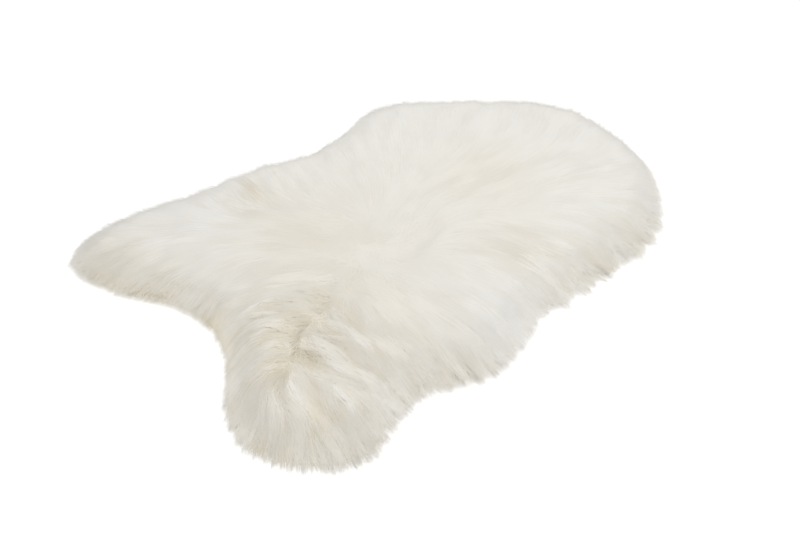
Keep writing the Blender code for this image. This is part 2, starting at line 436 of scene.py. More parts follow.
def from_line(points: Array, start: tuple, end: tuple) -> tuple[Array, Array]:
    """Measure level points from a straight line.

    Args:
        points: Level points, one a row.
        start: The X and Y of its start, in mm.
        end: The X and Y of its end, in mm.

    Returns:
        The vectors to them from the line's nearest spot, and that spot's share of the way along it.
    """
    begin, run = np.array(start) * MM, (np.array(end) - np.array(start)) * MM
    share = np.clip((points - begin) @ run / (run @ run), 0.0, 1.0)
    return points - begin - share[:, None] * run, share


def from_parting(points: Array) -> tuple[Array, Array]:
    """Measure level points from the parting.

    Args:
        points: Level points, one a row.

    Returns:
        The vectors to them from the nearest spot of the parting, and its push there.
    """
    best = np.full(len(points), np.inf)
    away, strength = np.zeros((len(points), 2)), np.zeros(len(points))
    for row, following in zip(PARTING, PARTING[1:]):
        vector, share = from_line(points, row[:2], following[:2])
        square = (vector**2).sum(1)
        nearer = square < best
        best = np.where(nearer, square, best)
        away[nearer] = vector[nearer]
        strength = np.where(nearer, between((row.push, following.push), share), strength)
    return away, strength


def patches(points: Array, table: tuple[Patch, ...], least: float) -> Array:
    """Add up soft round patches at level points.

    Args:
        points: Level points, one a row.
        table: The patches.
        least: The amount away from all patches.

    Returns:
        The amount at each point, from 0 to 1.
    """
    total = np.full(len(points), least)
    for _, x, y, radius, amount in table:
        total += amount * bell(distance(points, x, y), radius * MM)
    return np.clip(total, 0.0, 1.0)


@dataclass
class PeltOutline:
    """The fused wool's outline, as a closed smooth curve with the locks' reach along it."""

    steps: int = 24
    chord: float = 12 * MM
    batch: int = 8192
    rows: Array = field(init=False)
    lengths: Array = field(init=False)

    def __post_init__(self) -> None:
        """Work out the fine rows of X, Y and reach, and the lengths round the curve."""
        knots = np.array([(row.x, row.y, row.reach) for row in RIM]) * MM
        following = np.roll(knots, -1, 0)
        spans = np.sqrt(np.linalg.norm(following[:, :2] - knots[:, :2], axis=1))[:, None]
        slopes = (following - np.roll(knots, 1, 0)) / (spans + np.roll(spans, 1, 0))
        leave, arrive = slopes * spans, np.roll(slopes, -1, 0) * spans
        t = (np.arange(self.steps) / self.steps)[None, :, None]
        rows = (
            knots[:, None] * (2 * t**3 - 3 * t**2 + 1)
            + leave[:, None] * (t**3 - 2 * t**2 + t)
            + following[:, None] * (3 * t**2 - 2 * t**3)
            + arrive[:, None] * (t**3 - t**2)
        )
        self.rows = rows.reshape(-1, 3)
        ahead = np.linalg.norm(np.roll(self.rows, -1, 0)[:, :2] - self.rows[:, :2], axis=1)
        self.lengths = np.concatenate([[0.0], np.cumsum(ahead)])

    @property
    def around(self) -> float:
        """The length round the curve."""
        return float(self.lengths[-1])

    def at(self, length: Array) -> Array:
        """Give the rows of X, Y and reach at these lengths round the curve."""
        closed = np.vstack([self.rows, self.rows[:1]])
        length = np.mod(length, self.around)
        return np.stack([np.interp(length, self.lengths, closed[:, i]) for i in range(3)], axis=1)

    def normal(self, length: Array) -> Array:
        """Give the level unit vectors that point out of the curve at these lengths."""
        return -leftward(unit((self.at(length + self.chord) - self.at(length - self.chord))[:, :2]))

    def inside(self, length: Array, inset: Array) -> Array:
        """Give the level points at these lengths round the curve and these distances in from it."""
        return self.at(length)[:, :2] - self.normal(length) * inset[:, None]

    def inward(self, points: Array) -> tuple[Array, Array]:
        """Measure how far level points lie in from the curve.

        Args:
            points: Level points, one a row.

        Returns:
            Each point's distance, negative outside, and the length round the curve nearest to it.
        """
        start, end = self.rows[:, :2], np.roll(self.rows[:, :2], -1, 0)
        inside = np.zeros(len(points), bool)
        for (ax, ay), (bx, by) in zip(start, end):
            crosses = (ay > points[:, 1]) != (by > points[:, 1])
            with np.errstate(divide="ignore", invalid="ignore"):
                x = ax + (points[:, 1] - ay) / (by - ay) * (bx - ax)
            inside ^= crosses & (points[:, 0] < x)
        away, nearest = np.empty(len(points)), np.empty(len(points))
        for i in range(0, len(points), self.batch):
            part = points[i : i + self.batch]
            squares = ((part[:, None] - start[None]) ** 2).sum(2)
            best = squares.argmin(1)
            away[i : i + self.batch] = np.sqrt(squares[np.arange(len(part)), best])
            nearest[i : i + self.batch] = self.lengths[best]
        return np.where(inside, away, -away), nearest


@dataclass
class WoolField:
    """What the wool does over every spot of the floor: its height, its lie, its warmth and its shading."""

    outline: PeltOutline
    pitch: float = 3 * MM
    margin: float = 60 * MM
    rim_height: float = 15 * MM
    comb_reach: float = 60 * MM
    parting_reach: float = 62 * MM
    sway: float = 0.3
    sway_waves: tuple[Pair, ...] = ((83 * MM, 0.4), (67 * MM, 2.1), (102 * MM, 4.4))
    rounding: int = 2
    combing: int = 60
    edge_band: float = 60 * MM
    flattening: float = 0.55
    least_shag: float = 0.1
    least_cream: float = 0.04
    rim_cream: float = 0.04
    groove: float = 7 * MM
    crevice_reach: float = 18 * MM
    source_reach: float = 70 * MM
    hollow_depth: float = 5 * MM
    shading: int = 8
    rim_shading: int = 70
    relief: float = 1.1
    tones: Pair = (0.35, 0.45)
    # Painted shade along the rim: how much darker the rim's wool is toned, and over how wide a band.
    rim_painted_shade: float = 0.4
    painted_shade_band: float = 76 * MM
    near_side: float = math.radians(235)
    side_blur: float = 0.6
    least_side: float = 0.1
    far_light: float = 0.8
    near_light: float = 0.95
    near_band: float = 40 * MM
    grids: dict[str, Array] = field(init=False)
    corner: Array = field(init=False)

    def __post_init__(self) -> None:
        """Fill the grids."""
        low, high = (np.array(corner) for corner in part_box(SHEEPSKIN))
        self.corner = low[:2] - self.margin
        size = np.ceil((high[:2] + self.margin - self.corner) / self.pitch).astype(int) + 1
        x, y = (self.corner[i] + np.arange(size[i]) * self.pitch for i in (0, 1))
        points = np.stack(np.meshgrid(x, y), axis=2).reshape(-1, 2)
        inward, nearest = self.outline.inward(points)
        reach = self.outline.at(nearest)[:, 2]
        beyond = self.rim_height * np.sqrt(np.clip(1 + inward / reach, 0.0, 1.0))
        shag = patches(points, SHAG, self.least_shag)
        comb = self.combed(points, shag)
        toward = self.outline.normal(nearest) @ heading(self.near_side)
        side = eased((toward + self.side_blur) / (2 * self.side_blur))
        flat = {
            "height": np.where(inward > 0, self.solid_height(points, high[2]), beyond),
            "shag": shag,
            "inward": inward,
            "nearest": nearest,
            "reach": reach,
            "comb_x": comb[:, 0],
            "comb_y": comb[:, 1],
            "cream": patches(points, CREAM, self.least_cream),
            "parting": np.linalg.norm(from_parting(points)[0], axis=1),
            "opened": self.opened(points),
            "source": bell(distance(points, *PARTING[-1][:2]), self.source_reach),
            "side": between((self.least_side, 1.0), side),
        }
        self.grids = {name: values.reshape(size[1], size[0]) for name, values in flat.items()}
        inner = eased(self.grids["inward"] / self.edge_band)
        self.comb_over(inner)
        self.shade(inner)

    def comb_over(self, inner: Array) -> None:
        """Round the solid's facets off, comb the smooth wool level, open the crevices and find the hollows.

        Args:
            inner: A grid of how far in from the rim a spot is, from 0 to 1.
        """
        grids = self.grids
        ruffled = blurred(grids["height"], self.rounding)
        smooth = blurred(ruffled, self.combing)
        level = (smooth - ruffled) * inner * (1 - grids["shag"]) * self.flattening
        grids["height"] = ruffled + level - self.groove * grids["opened"] ** 2 * inner
        grids["hollow"] = np.clip((smooth - ruffled) / self.hollow_depth, -1.0, 1.0) * inner
        grids["cream"] = np.clip(grids["cream"] + self.rim_cream * (1 - inner), 0.0, 1.0)

    def shade(self, inner: Array) -> None:
        """Work out the painted shade along the near rim, and the slopes that the shading follows.

        Light goes through the thin wool of the rim, so its slopes count for less: on the near side only
        at its very edge, on the far side further in.

        Args:
            inner: A grid of how far in from the rim a spot is, from 0 to 1.
        """
        height, inward, side = (self.grids[name] for name in ("height", "inward", "side"))
        # Painted shade: the wool is toned darker in a band along the rim, most on its near side, where the
        # fleece rolls down and gets less light.
        self.grids["painted_shade"] = blurred(side * (1 - eased(inward / self.painted_shade_band)), self.shading)
        relief = blurred(height, self.shading) * inner + blurred(height, self.rim_shading) * (1 - inner)
        edge = 1 - eased(inward / self.near_band)
        kept = 1 - self.far_light * (1 - side) * (1 - inner) - self.near_light * side * edge
        for name, slope in zip(("slope_y", "slope_x"), np.gradient(relief, self.pitch)):
            self.grids[name] = slope * kept

    def opened(self, points: Array) -> Array:
        """Give how far the crevices open the wool to its roots.

        Args:
            points: Level points, one a row.

        Returns:
            A share for each point, from 0 to 1.
        """
        most = np.zeros(len(points))
        for row in CREVICES:
            away = from_line(points, (row.x, row.y), (row.to_x, row.to_y))[0]
            most = np.maximum(most, row.open * bell(np.linalg.norm(away, axis=1), self.crevice_reach))
        return most

    def combed(self, points: Array, shag: Array) -> Array:
        """Work out the way that the comb has laid the tips.

        Args:
            points: Level points, one a row.
            shag: How ruffled the wool is at each.

        Returns:
            A level unit vector for each point.
        """
        ways, pulls = np.zeros((len(points), 2)), np.zeros(len(points))
        for stroke in COMB:
            pull = 1 / (distance(points, stroke.x, stroke.y) + self.comb_reach) ** 3
            ways += pull[:, None] * heading(math.radians(stroke.bearing))
            pulls += pull
        away, strength = from_parting(points)
        push = strength * bell(np.linalg.norm(away, axis=1), self.parting_reach)
        ways = ways / pulls[:, None] + unit(away) * push[:, None]
        sways = np.zeros(len(points))
        for length, bearing in self.sway_waves:
            sways += np.sin(points @ heading(bearing) * math.tau / length)
        return unit(turned(ways, sways * (self.sway / len(self.sway_waves) * shag)))

    def solid_height(self, points: Array, top: float) -> Array:
        """Read the height of the frame's solid at level points.

        Args:
            points: Level points, one a row.
            top: A height over all of the solid.

        Returns:
            The solid's height at each point, 0 beside it.
        """
        mesh = bpy.data.objects[SHEEPSKIN].data
        corners = [vertex.co[:] for vertex in mesh.vertices]
        tree = BVHTree.FromPolygons(corners, [face.vertices[:] for face in mesh.polygons])
        down = Vector((0, 0, -1))
        heights = np.zeros(len(points))
        for i, (x, y) in enumerate(points.tolist()):
            hit = tree.ray_cast(Vector((x, y, 2 * top)), down)[0]
            if hit is not None:
                heights[i] = hit.z
        return heights

    def read(self, name: str, points: Array) -> Array:
        """Read one grid at level points, between its nodes.

        Args:
            name: The grid's name.
            points: Level points, with X and Y along the last axis.

        Returns:
            The grid's value at each point.
        """
        grid = self.grids[name]
        short_of_end = 1.001
        place = np.clip((points - self.corner) / self.pitch, 0, np.array(grid.shape[::-1]) - short_of_end)
        i, j = np.moveaxis(place.astype(int), -1, 0)
        u, v = np.moveaxis(place - np.floor(place), -1, 0)
        near = grid[j, i] * (1 - u) + grid[j, i + 1] * u
        far = grid[j + 1, i] * (1 - u) + grid[j + 1, i + 1] * u
        return near * (1 - v) + far * v

    def lie(self, points: Array) -> Array:
        """Give the unit vectors of the comb at level points."""
        return unit(np.stack([self.read("comb_x", points), self.read("comb_y", points)], axis=1))

    def starts(self, points: Array) -> Array:
        """Give the root's place on the fibre's colours at level points: only in a crevice is it tan."""
        return between((MIDDLE_SHARE, ROOT_SHARE), self.read("opened", points))

    def tone(self, points: Array) -> Array:
        """Give the wool's tone at level points: lighter where ruffled, and darker along the near rim as
        painted shade.
        """
        return between(self.tones, self.read("shag", points)) - self.rim_painted_shade * self.read("painted_shade", points)

    def facing(self, lines: Array) -> Array:
        """Give the way that the fleece faces under every station, with its relief raised a little.

        Args:
            lines: Lines in space, as an array of fibre, station and axis.

        Returns:
            A unit vector for every station.
        """
        slope = np.stack([self.read(name, lines[..., :2]) for name in ("slope_x", "slope_y")], axis=-1)
        return unit(raised_to(-slope * self.relief, 1.0))

    def scattered(self, pitch: float, least_inward: float, rng: Rng) -> Array:
        """Scatter level points over the pelt on a shaken hexagonal grid.

        Args:
            pitch: Their mean spacing.
            least_inward: The least distance in from the outline.
            rng: The source of the shake.

        Returns:
            The points, one a row.
        """
        shake = 0.45
        line = pitch * math.sqrt(3) / 2
        columns = int((CAD_BOX[1][0] - CAD_BOX[0][0]) / pitch) + 2
        lines = int((CAD_BOX[1][1] - CAD_BOX[0][1]) / line) + 2
        i, j = np.meshgrid(np.arange(columns), np.arange(lines))
        points = np.stack([(i + 0.5 * (j % 2)) * pitch, j * line], axis=2).reshape(-1, 2)
        points = points + np.array(CAD_BOX[0][:2]) + rng.uniform(-shake, shake, points.shape) * pitch
        return points[self.read("inward", points) > least_inward]

    def grown(self, roots: Array, lengths: Array, turns: Array, stations: int) -> Array:
        """Follow the comb from each root over the fleece and past its rim.

        Args:
            roots: Level points, one a row.
            lengths: Each fibre's length over the fleece.
            turns: How far each fibre turns from the comb, in radians.
            stations: Points on each line, its root and tip among them.

        Returns:
            Level lines, as an array of fibre, station and axis.
        """
        substeps = 2
        probe = 3 * MM
        advance = lengths / ((stations - 1) * substeps)
        place = roots
        lines = [place]
        for _ in range(stations - 1):
            for _ in range(substeps):
                way = turned(self.lie(place), turns)
                rise = self.read("height", place + way * probe) - self.read("height", place)
                level = advance / np.sqrt(1 + (rise / probe) ** 2)
                place = place + way * level[:, None]
            lines.append(place)
        return np.stack(lines, axis=1)


@dataclass
class StrandMesh:
    """Fibres as closed three-sided strands that taper to a point, joined in one mesh."""

    lines: Array
    widths: Array
    tones: Array
    creams: Array
    starts: Array
    facing: Array
    flatness: Array
    upward: Array
    sides: int = 3
    root_width: float = 0.65
    sharpness: float = 2.2
    map_length: Pair = (0.16, 0.96)
    map_width: Pair = (0.05, 0.95)
    map_cap: tuple[Pair, ...] = ((0.3, 0.03), (0.7, 0.03), (0.5, 0.12))

    @property
    def count(self) -> int:
        """The number of strands."""
        return self.lines.shape[0]

    @property
    def rings(self) -> int:
        """The rings of corners on a strand, without its tip."""
        return self.lines.shape[1] - 1

    def corners(self) -> tuple[Array, Array]:
        """Place every ring's corners and every tip, strand by strand.

        Returns:
            The corners, and the directions that they are shaded for. Light goes round and through a
            fibre, so these lean to where the fleece faces.
        """
        along = unit(np.gradient(self.lines, axis=1))
        side = unit(np.cross(along, (0.0, 0.0, 1.0)))
        up = np.cross(side, along)
        share = np.linspace(0.0, 1.0, self.rings + 1)
        taper = np.minimum(self.root_width + share, 1.0) * (1 - share**self.sharpness)
        radius = (self.widths[:, None] / 2 * taper[None])[:, :-1, None, None]
        angles = math.pi / 2 + np.arange(self.sides) * math.tau / self.sides
        across = side[:, :-1, None] * np.cos(angles)[:, None]
        rise = up[:, :-1, None] * np.sin(angles)[:, None]
        flatness, upward = (share[:, None, None, None] for share in (self.flatness, self.upward))
        rings = self.lines[:, :-1, None] + (across + rise * flatness) * radius
        facing = (across + rise) * (1 - upward) + self.facing[:, :-1, None] * upward
        joined = [
            np.concatenate([ring.reshape(self.count, -1, 3), tips[:, -1:]], axis=1).reshape(-1, 3)
            for ring, tips in ((rings, self.lines), (facing, self.facing))
        ]
        return joined[0], unit(joined[1])

    def pattern(self) -> tuple[Array, Array, Array, Array]:
        """List one strand's faces and their places on its own patch of the map.

        Returns:
            The quads' corners, the triangles' corners, and the map places of each.
        """
        quads, quad_places, triangles, triangle_places = [], [], [], []
        for ring, k in np.ndindex(self.rings, self.sides):
            j = (k + 1) % self.sides
            here, above = ring * self.sides, (ring + 1) * self.sides
            bottom, top = (between(self.map_length, (ring + i) / self.rings) for i in (0, 1))
            left, right = (between(self.map_width, (k + i) / self.sides) for i in (0, 1))
            if ring < self.rings - 1:
                quads.append((here + k, above + k, above + j, here + j))
                quad_places.append(((left, bottom), (left, top), (right, top), (right, bottom)))
            else:
                triangles.append((here + k, above, here + j))
                triangle_places.append(((left, bottom), ((left + right) / 2, top), (right, bottom)))
        triangles.append(tuple(range(self.sides)))
        triangle_places.append(self.map_cap)
        return tuple(np.array(rows) for rows in (quads, triangles, quad_places, triangle_places))

    def build(self, name: str, finish: UndyedWool, kind: Fibre) -> Piece:
        """Make the joined mesh with its map and its fibre attribute, and dress it.

        Args:
            name: The piece's name.
            finish: The wool's finish.
            kind: What light does at these fibres.

        Returns:
            The new object.
        """
        quads, triangles, *patch = self.pattern()
        first = np.arange(self.count)[:, None, None] * (self.rings * self.sides + 1)
        corners = np.concatenate([(first + faces).reshape(-1) for faces in (quads, triangles)])
        totals = np.repeat((4, 3), (self.count * len(quads), self.count * len(triangles)))
        points, facing = self.corners()
        mesh = mesh_from(name, points, corners, totals)
        columns = math.ceil(math.sqrt(self.count))
        cell = np.stack(np.divmod(np.arange(self.count), columns)[::-1], axis=1)[:, None, None]
        places = [((cell + rows.reshape(1, -1, 1, 2)) / columns).reshape(-1, 2) for rows in patch]
        layer = mesh.uv_layers.new(name=BAKE_MAP)
        layer.data.foreach_set("uv", np.concatenate(places).astype(np.float32).reshape(-1))
        share = np.append(np.repeat(np.linspace(0, 1, self.rings + 1)[:-1], self.sides), 1.0)
        fibre = np.empty((self.count, len(share), 3))
        fibre[..., 0] = self.starts[:, None] + (1 - self.starts[:, None]) * share
        fibre[..., 1], fibre[..., 2] = self.tones[:, None], self.creams[:, None]
        give_fibre(mesh, fibre.reshape(-1, 3))
        mesh.normals_split_custom_set_from_vertices(facing.astype(np.float32))
        piece = link(name, mesh, finish)
        piece.visible_shadow = piece.visible_diffuse = kind is Fibre.COARSE
        return piece


def mesh_from(name: str, points: Array, corners: Array, totals: Array) -> bpy.types.Mesh:
    """Make a smooth-shaded mesh from arrays.

    Args:
        name: The mesh's name.
        points: Its vertices, one a row.
        corners: The vertex of every face corner, face by face.
        totals: Each face's number of corners.

    Returns:
        The mesh.
    """
    mesh = bpy.data.meshes.new(name)
    mesh.vertices.add(len(points))
    mesh.vertices.foreach_set("co", points.astype(np.float32).reshape(-1))
    mesh.loops.add(len(corners))
    mesh.loops.foreach_set("vertex_index", corners.astype(np.int32))
    mesh.polygons.add(len(totals))
    starts = np.concatenate([[0], np.cumsum(totals)[:-1]])
    mesh.polygons.foreach_set("loop_start", starts.astype(np.int32))
    mesh.polygons.foreach_set("use_smooth", np.ones(len(totals), bool))
    mesh.update(calc_edges=True)
    return mesh


def give_fibre(mesh: bpy.types.Mesh, values: Array) -> None:
    """Store each point's place along its fibre, its tone and its creaminess."""
    layer = mesh.attributes.new(FIBRE, "FLOAT_VECTOR", "POINT")
    layer.data.foreach_set("vector", values.astype(np.float32).reshape(-1))


def link(name: str, mesh: bpy.types.Mesh, finish: UndyedWool) -> Piece:
    """Dress a mesh and show it as an object at the origin.

    Args:
        name: The object's name.
        mesh: The mesh.
        finish: The wool's finish.

    Returns:
        The new object.
    """
    mesh.materials.append(finish.material())
    piece = bpy.data.objects.new(name, mesh)
    bpy.context.scene.collection.objects.link(piece)
    return piece


def raised_to(level: Array, height: Array | float) -> Array:
    """Give level points or lines their height, as a last column."""
    return np.concatenate([level, np.broadcast_to(height, level.shape[:-1])[..., None]], axis=-1)


class Quarter(Enum):
    """The quarters of the pelt, by which its long wool is split into pieces."""

    NEAR_REAR = "near_rear"
    NEAR_FRONT = "near_front"
    FAR_REAR = "far_rear"
    FAR_FRONT = "far_front"

    def holds(self, points: Array) -> Array:
        """Tell which level points are in this quarter."""
        side, end = self.value.split("_")
        return ((points[:, 1] < 0) == (side == "near")) & ((points[:, 0] < 0) == (end == "rear"))


class Fibre(Enum):
    """The kinds of long fibre: light passes through the fine ones, and the coarse ones stop it."""

    COARSE = "coarse"
    FINE = "fine"


@dataclass
class RimClumps:
    """The uneven clumps that the wool gathers to along the rim."""

    outline: PeltOutline
    least: float = 22 * MM
    most: float = 62 * MM
    strength: Pair = (0.15, 1.0)
    lean: float = 0.20
    short: Pair = (0.9, 0.62)
    even_reach: float = 27 * MM
    shaggy_reach: float = 35 * MM
    skew: float = 0.7
    seed: int = 12
    bounds: Array = field(init=False)
    strengths: Array = field(init=False)

    def __post_init__(self) -> None:
        """Share the rim out to clumps of uneven width and strength."""
        rng = np.random.default_rng(self.seed)
        widths = rng.uniform(self.least, self.most, round(2 * self.outline.around / (self.least + self.most)))
        self.bounds = np.concatenate([[0.0], np.cumsum(widths)]) * self.outline.around / widths.sum()
        self.strengths = rng.uniform(*self.strength, len(widths))

    def phase(self, lengths: Array) -> tuple[Array, Array]:
        """Give the angle round the clump's cycle at lengths round the outline, and the clump's strength.

        Args:
            lengths: Lengths round the outline.

        Returns:
            The angles in radians, and the strengths.
        """
        turn = np.interp(np.mod(lengths, self.outline.around), self.bounds, np.arange(len(self.bounds)))
        clump = np.minimum(turn.astype(int), len(self.strengths) - 1)
        return math.tau * turn + math.pi, self.strengths[clump]

    def shaggy(self, lengths: Array) -> Array:
        """Give how shaggy the rim is at lengths round the outline, from 0 where the wool past it is short."""
        reach = self.outline.at(lengths)[:, 2]
        return eased((reach - self.even_reach) / (self.shaggy_reach - self.even_reach))

    def reach_share(self, lengths: Array) -> Array:
        """Give the share of the full reach that the wool has at these lengths: evener where it is short."""
        short = between(self.short, self.shaggy(lengths))
        phase, strength = self.phase(lengths)
        return short + (1 - short) * strength * (1 + np.cos(phase - self.skew * np.sin(phase))) / 2

    def turn(self, lengths: Array) -> Array:
        """Give how far a fibre turns to its clump's middle at these lengths, in radians."""
        phase, strength = self.phase(lengths)
        return -self.lean * strength * np.sin(phase)


@dataclass
class Pile:
    """Wool of one kind that grows on the pelt."""

    wool: WoolField
    clumps: RimClumps

    def past(self, points: Array) -> Array:
        """Give how far past the outline the clumps reach where it is nearest to level points."""
        return self.wool.read("reach", points) * self.clumps.reach_share(self.wool.read("nearest", points))


@dataclass
class LongWool(Pile):
    """The long wool over the fleece, gathered in pointed locks where it is ruffled.

    A pair of numbers is for smooth wool and for ruffled wool, or the ends of a random range. That of
    layering is for a fibre's root and for its tip.
    """

    pitch: float = 3.6 * MM
    margin: float = 2 * MM
    density: Pair = (0.6, 1.0)
    lock_pitch: float = 24 * MM
    length: float = 92 * MM
    lock_lengths: Pair = (0.85, 1.15)
    length_spread: float = 0.25
    behind: float = 0.35
    inward_share: float = 1.2
    past_share: Pair = (0.7, 1.1)
    width: float = 1.2 * MM
    width_spread: Pair = (0.7, 1.25)
    widening: Pair = (1.8, 1.0)
    stations: int = 4
    ruffling: Pair = (0.13, 1.0)
    lock_turn: float = 0.13
    fibre_turn: float = 0.06
    turning: Pair = (0.4, 1.0)
    rim_turning: float = 0.3
    gather: float = 0.58
    gather_power: float = 1.4
    rim_loose: float = 0.4
    parting_loose: float = 0.8
    parting_band: float = 28 * MM
    parting_turn: float = 0.45
    parting_short: float = 0.7
    crevice_turn: float = 0.9
    crevice_short: float = 0.45
    source_turn: float = 1.0
    source_short: float = 0.4
    # Partly painted light: how much creamier and darker the hollows are and how much paler the crests are.
    hollow_warmth_and_shade: float = 0.5
    sink: float = 5 * MM
    root_depth: float = 1.5 * MM
    rise: float = 6 * MM
    rise_power: float = 0.6
    layer: float = 0.9 * MM
    layering: Pair = (0.3, 1.0)
    wave: float = 3.4 * MM
    phase_spread: float = 0.7
    unevenness: Pair = (0.3, 1.0)
    rim_band: float = 60 * MM
    floor_gap: float = 0.8 * MM
    loft: Pair = (0.1, 1.0)
    flatness: Pair = (0.15, 0.5)
    upward: Pair = (0.97, 0.86)
    tone_spread: float = 0.15
    tone_share: Pair = (0.2, 1.0)
    lock_tone: float = 0.95
    lock_cream: float = 0.45
    coarse_share: float = 0.15
    coarse_depth: float = 2.0 * MM
    coarse_from: float = 0.12
    coarse_to: float = 0.8
    seed: int = 5

    def ruffled(self, points: Array) -> Array:
        """Give the share of the full unevenness that the wool has at level points."""
        return between(self.ruffling, self.wool.read("shag", points))

    def parted(self, points: Array) -> Array:
        """Give how near level points are to the parting, from 0 to 1."""
        return bell(self.wool.read("parting", points), self.parting_band)

    def shares(self) -> Array:
        """Give the stations' shares of a fibre's length, the second where it was scattered."""
        return np.concatenate([[0.0], np.linspace(self.behind, 1.0, self.stations - 1)])

    def laid(self, points: Array, lengths: Array, turns: Array, rng: Rng) -> Array:
        """Lay fibres along the comb, back to their roots and on to their tips.

        Args:
            points: A level point of each fibre, a little past its root.
            lengths: The fibres' lengths.
            turns: How far each turns from the comb, in radians.
            rng: The source of their unevenness.

        Returns:
            Level lines, as an array of fibre, station and axis.
        """
        past = self.past(points) * rng.uniform(*self.past_share, len(points))
        most = self.inward_share * self.wool.read("inward", points) + past
        ahead = np.minimum(lengths * (1 - self.behind), most)
        roots = self.wool.grown(points, -lengths * self.behind, turns, 2)[:, 1:]
        return np.concatenate([roots, self.wool.grown(points, ahead, turns, self.stations - 1)], axis=1)

    def lines(self, rng: Rng) -> tuple[Array, Array]:
        """Lay every fibre of the long wool.

        Args:
            rng: The source of its unevenness.

        Returns:
            Lines in space, as an array of fibre, station and axis, and how much cleaner each one's lock is.
        """
        read = self.wool.read
        points = self.wool.scattered(self.pitch, self.margin, rng)
        dense = np.maximum(np.maximum(self.ruffled(points), self.parted(points)), read("source", points))
        points = points[rng.uniform(0, 1, len(points)) < between(self.density, dense)]
        count = len(points)
        middles = self.wool.scattered(self.lock_pitch, 0.0, rng)
        lock = nearest_of(middles, points)
        ruffled, parted = self.ruffled(points), self.parted(points)
        gap, source = read("opened", points) ** 2, read("source", points)
        near_rim = 1 - eased(read("inward", points) / self.rim_band)
        uneven = self.ruffled(middles)
        lock_turns = rng.normal(0, self.lock_turn, len(middles)) * uneven
        lock_lengths = self.length * rng.uniform(*self.lock_lengths, len(middles))
        lock_tones = self.lock_tone * rng.uniform(-1, 1, len(middles)) * uneven
        phases = rng.uniform(0, math.tau, len(middles))[lock]
        phases += rng.uniform(-self.phase_spread, self.phase_spread, count)
        turns = lock_turns[lock] + rng.normal(0, self.fibre_turn, count) * between(self.turning, ruffled)
        turns *= 1 - self.rim_turning * near_rim
        turns += self.clumps.turn(read("nearest", points)) * near_rim
        strays = (self.crevice_turn, self.parting_turn, self.source_turn)
        for share, stray in zip((gap, parted, source), strays):
            turns += share * rng.normal(0, stray, count)
        lengths = lock_lengths[lock] * (1 + rng.uniform(-1, 1, count) * self.length_spread)
        shortest = (self.crevice_short, self.source_short, self.parting_short)
        for share, short in zip((gap, source, parted), shortest):
            lengths *= 1 - (1 - short) * share
        own = self.laid(points, lengths, turns, rng)
        shared = self.laid(middles, lock_lengths, lock_turns, rng)
        loose = (1 - self.rim_loose * near_rim) * (1 - self.parting_loose * parted) * ruffled
        pull = self.gather * self.shares() ** self.gather_power * loose[:, None]
        level = own + (shared[lock] - own) * pull[..., None]
        return self.raised(self.waved(level, ruffled, phases), ruffled, rng), lock_tones[lock]

    def waved(self, level: Array, ruffled: Array, phases: Array) -> Array:
        """Give level lines a slow wave to their sides that grows towards their tips.

        Args:
            level: Level lines, as an array of fibre, station and axis.
            ruffled: How ruffled each is.
            phases: Where each one's wave starts, in radians.

        Returns:
            The waved lines.
        """
        side = leftward(unit(level[:, -1] - level[:, 0]))
        most = between(self.unevenness, ruffled)[:, None]
        sideways = swing(self.shares(), phases[:, None]) * self.wave * most
        return level + side[:, None] * sideways[..., None]

    def raised(self, level: Array, ruffled: Array, rng: Rng) -> Array:
        """Raise level lines from their roots in the underwool to their tips on top of the fleece.

        Args:
            level: Level lines, as an array of fibre, station and axis.
            ruffled: How ruffled each is.
            rng: The source of the layers that they lie in.

        Returns:
            Lines in space.
        """
        share = self.shares()
        base = self.wool.read("height", level)
        depth = self.sink + self.root_depth * (1 - share) - self.rise * share**self.rise_power
        layer = rng.uniform(-1, 1, (len(level), 1)) * self.layer * between(self.layering, share)
        height = base - depth * between(self.loft, ruffled)[:, None] + layer * ruffled[:, None]
        return raised_to(level, np.maximum(height, self.floor_gap))

    def build(self, finish: UndyedWool) -> list[Piece]:
        """Build the long wool: its coarse fibres in one piece, its fine ones in a piece for each quarter.

        Args:
            finish: The wool's finish.

        Returns:
            The new pieces.
        """
        rng = np.random.default_rng(self.seed)
        lines, lock_tones = self.lines(rng)
        middle = lines[:, 1, :2]
        ruffled = self.ruffled(middle)
        widths = self.width * rng.uniform(*self.width_spread, len(lines)) * between(self.widening, ruffled)
        spread = rng.uniform(-self.tone_spread, self.tone_spread, len(lines))
        tones = self.wool.tone(middle) + lock_tones + spread * between(self.tone_share, ruffled)
        # In the fleece's hollows the wool is creamier and darker, the warmer depth of the wool and painted
        # shade at once; on its crests it is paler, painted highlight. Only where it is ruffled.
        hollow = self.hollow_warmth_and_shade * self.wool.read("hollow", middle) * ruffled
        streaks = self.lock_cream * np.maximum(-lock_tones, 0.0)
        creams = np.clip(self.wool.read("cream", middle) + hollow + streaks, 0.0, 1.0)
        coarse = eased((ruffled - self.coarse_from) / (self.coarse_to - self.coarse_from))
        fine = rng.uniform(0, 1, len(lines)) > self.coarse_share * coarse
        lines[..., 2] = np.maximum(lines[..., 2] - self.coarse_depth * ~fine[:, None], self.floor_gap)
        starts, facing = self.wool.starts(middle), self.wool.facing(lines)
        flatness, upward = between(self.flatness, ruffled), between(self.upward, ruffled)
        traits = (lines, widths, tones, creams, starts, facing, flatness, upward)
        groups = [("coarse_wool", Fibre.COARSE, ~fine)]
        groups += [("fine_wool_" + part.value, Fibre.FINE, fine & part.holds(middle)) for part in Quarter]
        pieces = []
        for name, kind, mine in groups:
            strands = StrandMesh(*(values[mine] for values in traits))
            pieces.append(strands.build(name, finish, kind))
        return pieces


